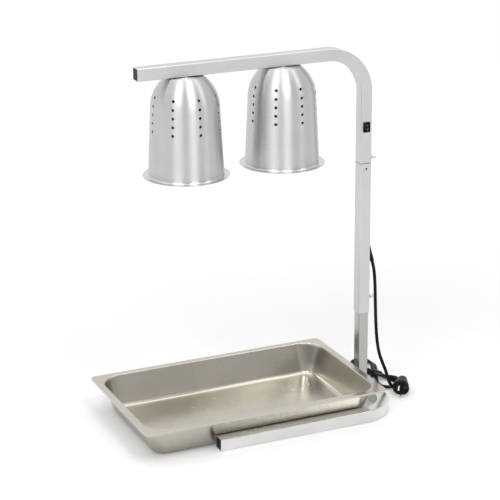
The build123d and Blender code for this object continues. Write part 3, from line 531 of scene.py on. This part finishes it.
# Lamp holders: glazed white porcelain. Shells, contacts, caps, switch blades and plug pins:
# drawn brass, a little tarnished.
GLAZE_CREAM = (0.70, 0.69, 0.64)
GLAZE_WHITE = (0.80, 0.79, 0.75)
GLAZE_DEPTH = 0.0004
BRASS_TARNISHED = (0.66, 0.56, 0.34)
BRASS_BRIGHT = (0.86, 0.77, 0.54)
glazed = Finish("glazed_porcelain", Roughness=0.18, Coat_Weight=0.6)
fired = glazed.place.grain(90.0, detail=6.0)
glazed.feed(
    Base_Color=fired.band(*NOISE_WIDE).tint(GLAZE_CREAM, GLAZE_WHITE),
    Normal=fired.bump(0.05, GLAZE_DEPTH),
)
glazed.on("lamp_holder_left", "lamp_holder_right")
brassy = Finish("drawn_brass", Metallic=1.0)
tarnish = brassy.place.grain(240.0, detail=5.0)
brassy.feed(
    Base_Color=tarnish.band(*NOISE_WIDE).tint(BRASS_TARNISHED, BRASS_BRIGHT),
    Roughness=tarnish * 0.2 + 0.14,
)
brassy.on("plug_pins", "switch_blades")
for part in ("holder_shell", "holder_contact", "bulb_cap"):
    brassy.on(part + "_left", part + "_right")

# Earth contacts: bent from nickel-plated spring strip and let into the plug, painted dark as
# painted shade.
CONTACT_SHADE_DARK = (0.20, 0.18, 0.14)
CONTACT_SHADE_LIGHT = (0.42, 0.38, 0.30)
plated = Finish("nickel_painted_shade", Metallic=1.0)
nickel_mottle = plated.place.grain(300.0, detail=5.0)
# Painted shade: the contacts are coloured far darker than nickel.
plated.feed(
    Base_Color=nickel_mottle.band(*NOISE_WIDE).tint(CONTACT_SHADE_DARK, CONTACT_SHADE_LIGHT),
    Roughness=nickel_mottle * 0.25 + 0.25,
)
plated.on("plug_earth")

# Bulbs: blown glass reflector lamps, silvered inside from neck to shoulder and frosted on
# the face.
SILVER_FROM = 0.575
SILVER_TO = 0.585
SILVER_GREY = (0.34, 0.34, 0.34)
GLASS_FOGGED = (0.86, 0.84, 0.80)
GLASS_CLEAR = (0.92, 0.91, 0.88)
blown = Finish("blown_glass", IOR=1.5)
_, _, z = blown.place.axes()
silver = z.band(SILVER_FROM, SILVER_TO)
frost = blown.place.grain(500.0, detail=3.0)
fogged = blown.place.grain(22.0, detail=4.0)
blown.feed(
    Base_Color=silver.tint(fogged.tint(GLASS_FOGGED, GLASS_CLEAR), SILVER_GREY),
    Metallic=silver,
    Roughness=frost * 0.12 + 0.14 + silver * 0.12,
    Alpha=0.75 + silver * 0.25,
)
blown.on("bulb_glass_left", "bulb_glass_right")

# Pan: deep-drawn stainless gastronorm pan, satin inside and out, with a flat rim and a
# turned-down lip. Its back corners inside are painted darker as painted shade, and its outside
# is painted darker round the foot as painted shade. It lifts out from between the base's legs.
PAN_DULL = (0.52, 0.495, 0.43)
PAN_BRIGHT = (0.585, 0.56, 0.495)
PAN_MIDDLE = -0.2888
PAN_FOOT_SHADE_TO = 0.045
PAN_FOOT_SHADE = 0.22
PAN_CORNER_SHADE = 0.50
PAN_TURNOVER = 0.01
CORNER_ALONG = (0.205, 0.238)
CORNER_ACROSS = (0.050, 0.120)
CORNER_FOOT = (0.008, 0.030)
CORNER_TOP = (0.059, 0.062)
BLACK = (0.0, 0.0, 0.0)
pressed = Finish("pressed_pan", Metallic=1.0)
x, y, z = pressed.place.axes()
face_x, face_y, _ = pressed.facing.axes()
outside = ((x - PAN_MIDDLE) * face_x + y * face_y).band(0.0, PAN_TURNOVER)
foot = outside * z.band(0.0, PAN_FOOT_SHADE_TO, 1.0, 0.0)
off_middle = abs(x - PAN_MIDDLE)
corner = off_middle.band(*CORNER_ALONG) * y.band(*CORNER_ACROSS) * z.band(*CORNER_FOOT)
corner = corner * (1 - outside) * z.band(*CORNER_TOP, 1.0, 0.0)
fine = pressed.place.grain(1300.0, (0.15, 1, 1), detail=3.0)
cloud = pressed.place.grain(7.0, detail=5.0)
rubbed = pressed.place.grain(120.0, (0.4, 1, 1), detail=6.0).band(*NOISE_PEAKS)
steel = (fine * 0.4 + cloud * 0.6).band(*NOISE_BODY).tint(PAN_DULL, PAN_BRIGHT)
# Painted shade: darker inside the back corners and round the outside of the foot.
pressed.feed(
    Base_Color=(foot * PAN_FOOT_SHADE + corner * PAN_CORNER_SHADE).tint(steel, BLACK),
    Roughness=fine * 0.08 + cloud * 0.08 + rubbed * 0.05 + foot * 0.10 + 0.14,
    Normal=fine.bump(0.05, GRAIN_DEPTH),
)
pressed.on("food_pan")

# Cord: round black rubber mains lead. It leaves the strain relief, hangs beside the post and
# lies wound in a hank on the counter; its last stretch rises over the hank to the plug. Its
# route is in millimetres.
CORD_RADIUS = 0.0035
CORD_ORDER = 3
CORD_STEPS = 8
CORD_ROUNDNESS = 5
MM_PER_METRE = 1000
RELIEF_TIP = (23.61, 0.0, 288.66)
HANGING = [
    RELIEF_TIP, (28.3, 0.0, 273.4), (31.0, -1.0, 242.0), (31.2, -3.0, 212.0), (30.4, -6.4, 182.0),
    (28.6, -12.6, 150.0), (27.6, -19.6, 117.5), (29.7, -26.4, 87.4), (35.4, -33.6, 66.0),
    (39.6, -40.5, 50.0), (43.8, -46.6, 27.6), (51.4, -46.8, 14.4), (62.4, -45.3, 7.3),
    (74.3, -40.2, 5.0),
]
HANK_CENTRE = (60.0, 48.0)
HANK_TURN = math.radians(5.0)
HANK_FOLD = 21.0
HANK_STEP = 9.4
HANK_HALF_RUN = 55.0
HANK_LOW = 5.0
HANK_HIGH = 12.6
STRAND_END = 54.0
STRAND_SHOULDER = 42.0
STRAND_NECK = 17.0
STRAND_EASE = 0.9
CLIMB_HALF = 50.0
FOLD_CORNER = math.tan(math.radians(22.5))
ENTERING = [(14.2, -82.8, HANK_LOW), (22.6, -75.6, HANK_LOW), (29.4, -65.8, HANK_LOW)]
RISING = [
    (56.7, 31.6, 12.6), (57.3, 19.9, 15.1), (57.8, 8.2, 19.3), (58.4, -3.6, 21.7), (62.0, -15.0, 22.2),
]
RUBBER_BLACK = (0.004, 0.004, 0.0045)
RUBBER_DUSTY = (0.012, 0.012, 0.013)


def strand(end, way, low, high):
    """One strand from fold to fold, drawn in at the hank's waist, climbing as it goes."""
    side = math.copysign(1.0, end)
    waist = end - side * (HANK_FOLD - HANK_STEP / 2)
    half = [
        (end, STRAND_END), (end - side * STRAND_EASE, STRAND_SHOULDER),
        (waist + side * STRAND_EASE, STRAND_NECK),
    ]
    flat = [(across, -along) for across, along in half] + [(waist, 0.0)] + half[::-1]
    steep = (high - low) / (2 * CLIMB_HALF)
    climbs = [CLIMB_HALF + min(max(along, -CLIMB_HALF), CLIMB_HALF) for _, along in flat]
    return [(across, way * along, low + steep * climb) for (across, along), climb in zip(flat, climbs)]


def fold(start, end, way, up):
    """The half turn from one strand to the next, at one end of the hank."""
    middle = (start + end) / 2
    aside = (start - end) / 2 * FOLD_CORNER
    reach = abs(start - end) / 2
    near, far = way * (HANK_HALF_RUN + reach * FOLD_CORNER), way * (HANK_HALF_RUN + reach)
    return [(start, near, up), (middle + aside, far, up), (middle - aside, far, up), (end, near, up)]


def in_hank(spot):
    """A point of the hank moved to its place on the counter."""
    across, along, up = spot
    c, s = math.cos(HANK_TURN), math.sin(HANK_TURN)
    return (HANK_CENTRE[0] + across * c - along * s, HANK_CENTRE[1] + across * s + along * c, up)


def from_curve(maker, depth):
    """The mesh of a curve at a bevel depth; none gives its centre line."""
    maker.data.bevel_depth = depth
    bpy.context.view_layer.update()
    evaluated = maker.evaluated_get(bpy.context.evaluated_depsgraph_get())
    return bpy.data.meshes.new_from_object(evaluated)


lanes = [HANK_FOLD + HANK_STEP, -HANK_FOLD, HANK_FOLD, -HANK_FOLD]
heights = [HANK_LOW, HANK_LOW, HANK_LOW, HANK_HIGH, HANK_HIGH]
wound = list(ENTERING)
for i, lane in enumerate(lanes):
    way = 1 - 2 * (i % 2)
    turned = strand(lane, way, heights[i], heights[i + 1])
    if i + 1 < len(lanes):
        wound += turned + fold(lane, lanes[i + 1], way, heights[i + 1])
    else:
        wound += turned[:len(turned) // 2 + 1]
route = [Vector(p) / MM_PER_METRE for p in HANGING + [in_hank(p) for p in wound] + RISING]
line = bpy.data.curves.new("cord_line", "CURVE")
line.dimensions = "3D"
spline = line.splines.new("NURBS")
spline.points.add(len(route) - 1)
for point, spot in zip(spline.points, route):
    point.co = (*spot, 1)
spline.order_u = CORD_ORDER
spline.use_endpoint_u = True
spline.resolution_u = CORD_STEPS
line.bevel_resolution = CORD_ROUNDNESS
line_maker = piece("cord_line_maker", line)
centre_line = [v.co.copy() for v in from_curve(line_maker, 0.0).vertices]
cord_mesh = from_curve(line_maker, CORD_RADIUS)
bpy.data.objects.remove(line_maker)
cord = piece("mains_cord", cord_mesh)
rubber = Finish("rubber_sheath", Specular_IOR_Level=0.12)
dusty = rubber.place.grain(160.0, detail=5.0)
grip = rubber.place.grain(2200.0, detail=2.0)
rubber.feed(
    Base_Color=dusty.band(*NOISE_LOW).tint(RUBBER_BLACK, RUBBER_DUSTY),
    Roughness=dusty * 0.20 + 0.20,
    Normal=grip.bump(0.15, GRAIN_DEPTH),
)
cord_mesh.materials.clear()
cord_mesh.materials.append(rubber.material)
for face in cord_mesh.polygons:
    face.use_smooth = True
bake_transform(cord)
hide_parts("cord_drop", "cord_hank", "cord_tail")
rubber.on("strain_relief", "plug_body")

# Tie: a soft rubber band stretched round the waist of the hank to hold the strands together,
# moulded flat with rounded edges.
TIE_ROUND = 0.00035
TIE_CORNER = math.radians(40)
TIE_STEPS = 3
TIE_MERGE = 1e-6
tie_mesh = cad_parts["cord_tie"].data.copy()
merged = bmesh.new()
merged.from_mesh(tie_mesh)
bmesh.ops.remove_doubles(merged, verts=merged.verts, dist=TIE_MERGE)
rims = [e for e in merged.edges if e.is_manifold and e.calc_face_angle() > TIE_CORNER]
bmesh.ops.bevel(merged, geom=rims, offset=TIE_ROUND, segments=TIE_STEPS, profile=0.5, affect="EDGES")
merged.to_mesh(tie_mesh)
merged.free()
tie_mesh.materials.clear()
tie_mesh.materials.append(rubber.material)
tie = piece("hank_tie", tie_mesh)
settle(tie, "base", "black_rubber", "cord_tie")

# Boot ribs: raised rings moulded round the thin end of the plug's boot, in the same black
# rubber, which keep the cord from kinking where it enters.
BOOT_MOUTH = (0.062, -0.015, 0.0222)
BOOT_WAY = Vector((-0.3, 0.953, -0.04)).normalized()
BOOT_TIP_RADIUS = 0.0050
BOOT_ROOT_RADIUS = 0.0085
BOOT_LENGTH = 0.038
RIB_COUNT = 6
RIB_FROM = 0.0014
RIB_TO = 0.0175
RIB_SIDES = 28
RIB_WIRE = 0.16
RIB_WIRE_SIDES = 8
ribbing = Recipe("boot_ribs", Count=RIB_COUNT, Wire=RIB_WIRE)
hoop = {"Resolution": RIB_SIDES, "Radius": 1.0}
hoop = ribbing.add("GeometryNodeCurvePrimitiveCircle", None, hoop)
edge = {"Resolution": RIB_WIRE_SIDES, "Radius": ribbing.size("Wire")}
edge = ribbing.add("GeometryNodeCurvePrimitiveCircle", None, edge)
rib = ribbing.add("GeometryNodeCurveToMesh", None, {"Curve": hoop, "Profile Curve": edge})
first_rib = Vector(BOOT_MOUTH) - BOOT_WAY * RIB_FROM
last_rib = Vector(BOOT_MOUTH) - BOOT_WAY * RIB_TO
ends = {"Count": ribbing.size("Count"), "Start Location": first_rib, "Offset": last_rib}
stations = ribbing.add("GeometryNodeMeshLine", {"mode": "END_POINTS"}, ends)
widening = (BOOT_ROOT_RADIUS - BOOT_TIP_RADIUS) / BOOT_LENGTH
thin = BOOT_TIP_RADIUS + widening * RIB_FROM
growth = widening * (RIB_TO - RIB_FROM) / (RIB_COUNT - 1)
swell = ribbing.times(ribbing.add("GeometryNodeInputIndex"), growth)
swell = ribbing.add("ShaderNodeMath", {"operation": "ADD"}, {0: swell, 1: thin})
boot_turn = BOOT_WAY.to_track_quat("Z", "Y").to_euler()
facing = ribbing.add("FunctionNodeInputVector", {"vector": boot_turn})
swollen = ribbing.spot(swell, swell, swell)
ringed = {"Points": stations, "Instance": rib, "Rotation": facing, "Scale": swollen}
ribbing.close(ribbing.add("GeometryNodeInstanceOnPoints", None, ringed), rubber.material)
ribs = ribbing.bake(piece("boot_ribs"))
settle(ribs, "base", "black_rubber")

# Floor: a sheet of white paper under the part, which keeps the shadows. To the camera and in
# mirrors it also glows, further out more than near the part, because there the photo shows
# plain white.
FLOOR_DROP = -0.0004
FLOOR_HALF = 30.0
FLOOR_WHITE = (0.88, 0.88, 0.885, 1)
GLOW_NEAR = 0.135
GLOW_FAR = 0.34
GLOW_FROM = 0.4
GLOW_TO = 1.7
floor_mesh = bpy.data.meshes.new("floor")
sheet_corners = [(a * FLOOR_HALF, b * FLOOR_HALF, FLOOR_DROP) for a, b in corners]
floor_mesh.from_pydata(sheet_corners, [], [(0, 1, 2, 3)])
floor = piece("floor", floor_mesh)


def rays_that_show(tree):
    """One for rays that come from the camera, a mirror or glass."""
    paths = Tone(tree).add("LightPath").socket.node.outputs
    kinds = ("Is Camera Ray", "Is Glossy Ray", "Is Transmission Ray")
    seen, mirrored, through = [Tone(tree, paths[kind]) for kind in kinds]
    return seen.math("MINIMUM", seen + mirrored + through, 1.0)


paper = bpy.data.materials.new("paper")
paper.use_nodes = True
tree = paper.node_tree
tree.nodes.clear()
sheet = Tone(tree)
diffuse = sheet.add("BsdfDiffuse", None, {"Color": FLOOR_WHITE})
spread = sheet.add("VectorMath", {"operation": "LENGTH"}, {0: sheet.add("TexCoord", out=3)}, out=1)
shine = rays_that_show(tree) * spread.band(GLOW_FROM, GLOW_TO, GLOW_NEAR, GLOW_FAR)
glow = sheet.add("Emission", None, {"Color": (1, 1, 1, 1), "Strength": shine})
lit = sheet.add("AddShader", None, {0: diffuse, 1: glow})
tree.links.new(lit.socket, tree.nodes.new("ShaderNodeOutputMaterial").inputs[0])
floor_mesh.materials.append(paper)

# Surround: a white room that is brighter in mirrors than it is as a light, and dimmer on the
# camera's side, so that polished metal has something dark to show. The camera itself sees
# plain white.
SURROUND_LIGHT = 0.50
SURROUND_SEEN = 0.95
ROOM_DIM = 0.60
ROOM_NEAR = -0.75
ROOM_FAR = 0.25
world = bpy.data.worlds.new("studio")
bpy.context.scene.world = world
world.use_nodes = True
tree = world.node_tree
tree.nodes.clear()
air = Tone(tree)
_, away, _ = air.add("TexCoord").axes()
backdrop = away.band(ROOM_NEAR, ROOM_FAR, ROOM_DIM, 1.0)
strength = (rays_that_show(tree) * (SURROUND_SEEN - SURROUND_LIGHT) + SURROUND_LIGHT) * backdrop
camera_ray = air.add("LightPath")
strength = strength.math("MAXIMUM", strength, camera_ray)
back = air.add("Background", None, {"Color": (1, 1, 1, 1), "Strength": strength})
tree.links.new(back.socket, tree.nodes.new("ShaderNodeOutputWorld").inputs[0])

# Lamps: a broad one overhead for soft shadows, and three soft boxes on the camera's side,
# aimed between the shades. Each box has a name, a place, a width, a height and a power.
SUN_POWER = 1.0
SUN_SPREAD = math.radians(70.0)
SUN_FROM = Vector((0.10, 0.20, 1.0))
overhead = bpy.data.lights.new("overhead", "SUN")
overhead.energy = SUN_POWER
overhead.angle = SUN_SPREAD
piece("overhead", overhead).rotation_euler = SUN_FROM.to_track_quat("Z", "Y").to_euler()

BOX_AIM = Vector((-0.29, 0.0, 0.66))
SOFT_BOXES = [
    ("box_left", (-2.0, -1.33, 2.70), 1.20, 1.4, 25.0),
    ("box_near", (-0.285, -0.95, 1.60), 0.45, 0.9, 6.4),
    ("box_right", (1.05, -1.10, 1.90), 0.40, 0.8, 3.6),
]
for name, spot, wide, tall, power in SOFT_BOXES:
    lamp = bpy.data.lights.new(name, "AREA")
    lamp.shape = "RECTANGLE"
    lamp.size, lamp.size_y = wide, tall
    lamp.energy = power
    holder = piece(name, lamp)
    holder.location = spot
    holder.rotation_euler = (BOX_AIM - Vector(spot)).to_track_quat("-Z", "Y").to_euler()

# Camera: its place, turn, fall, roll and lens, solved from the corners of the pan's rim and
# the upright post in the photo.
VIEW_SPOT = (-1.6657, -3.1436, 1.5088)
VIEW_TURN = math.radians(24.14)
VIEW_FALL = math.radians(18.56)
VIEW_ROLL = math.radians(-0.44)
VIEW_LENS = 128.97
VIEW_SENSOR = 36.0
level_way = Vector((math.sin(VIEW_TURN), math.cos(VIEW_TURN), 0))
ahead = level_way * math.cos(VIEW_FALL) - Vector((0, 0, math.sin(VIEW_FALL)))
right = Vector((math.cos(VIEW_TURN), -math.sin(VIEW_TURN), 0))
above = right.cross(ahead)
tilted_right = right * math.cos(VIEW_ROLL) + above * math.sin(VIEW_ROLL)
tilted_above = above * math.cos(VIEW_ROLL) - right * math.sin(VIEW_ROLL)
view = bpy.data.cameras.new("view")
view.lens = VIEW_LENS
view.sensor_width = VIEW_SENSOR
camera = piece("view", view)
turn = Matrix((tilted_right, tilted_above, -ahead)).transposed().to_4x4()
camera.matrix_world = Matrix.Translation(VIEW_SPOT) @ turn
bpy.context.scene.camera = camera
bpy.context.scene.view_settings.view_transform = "Standard"
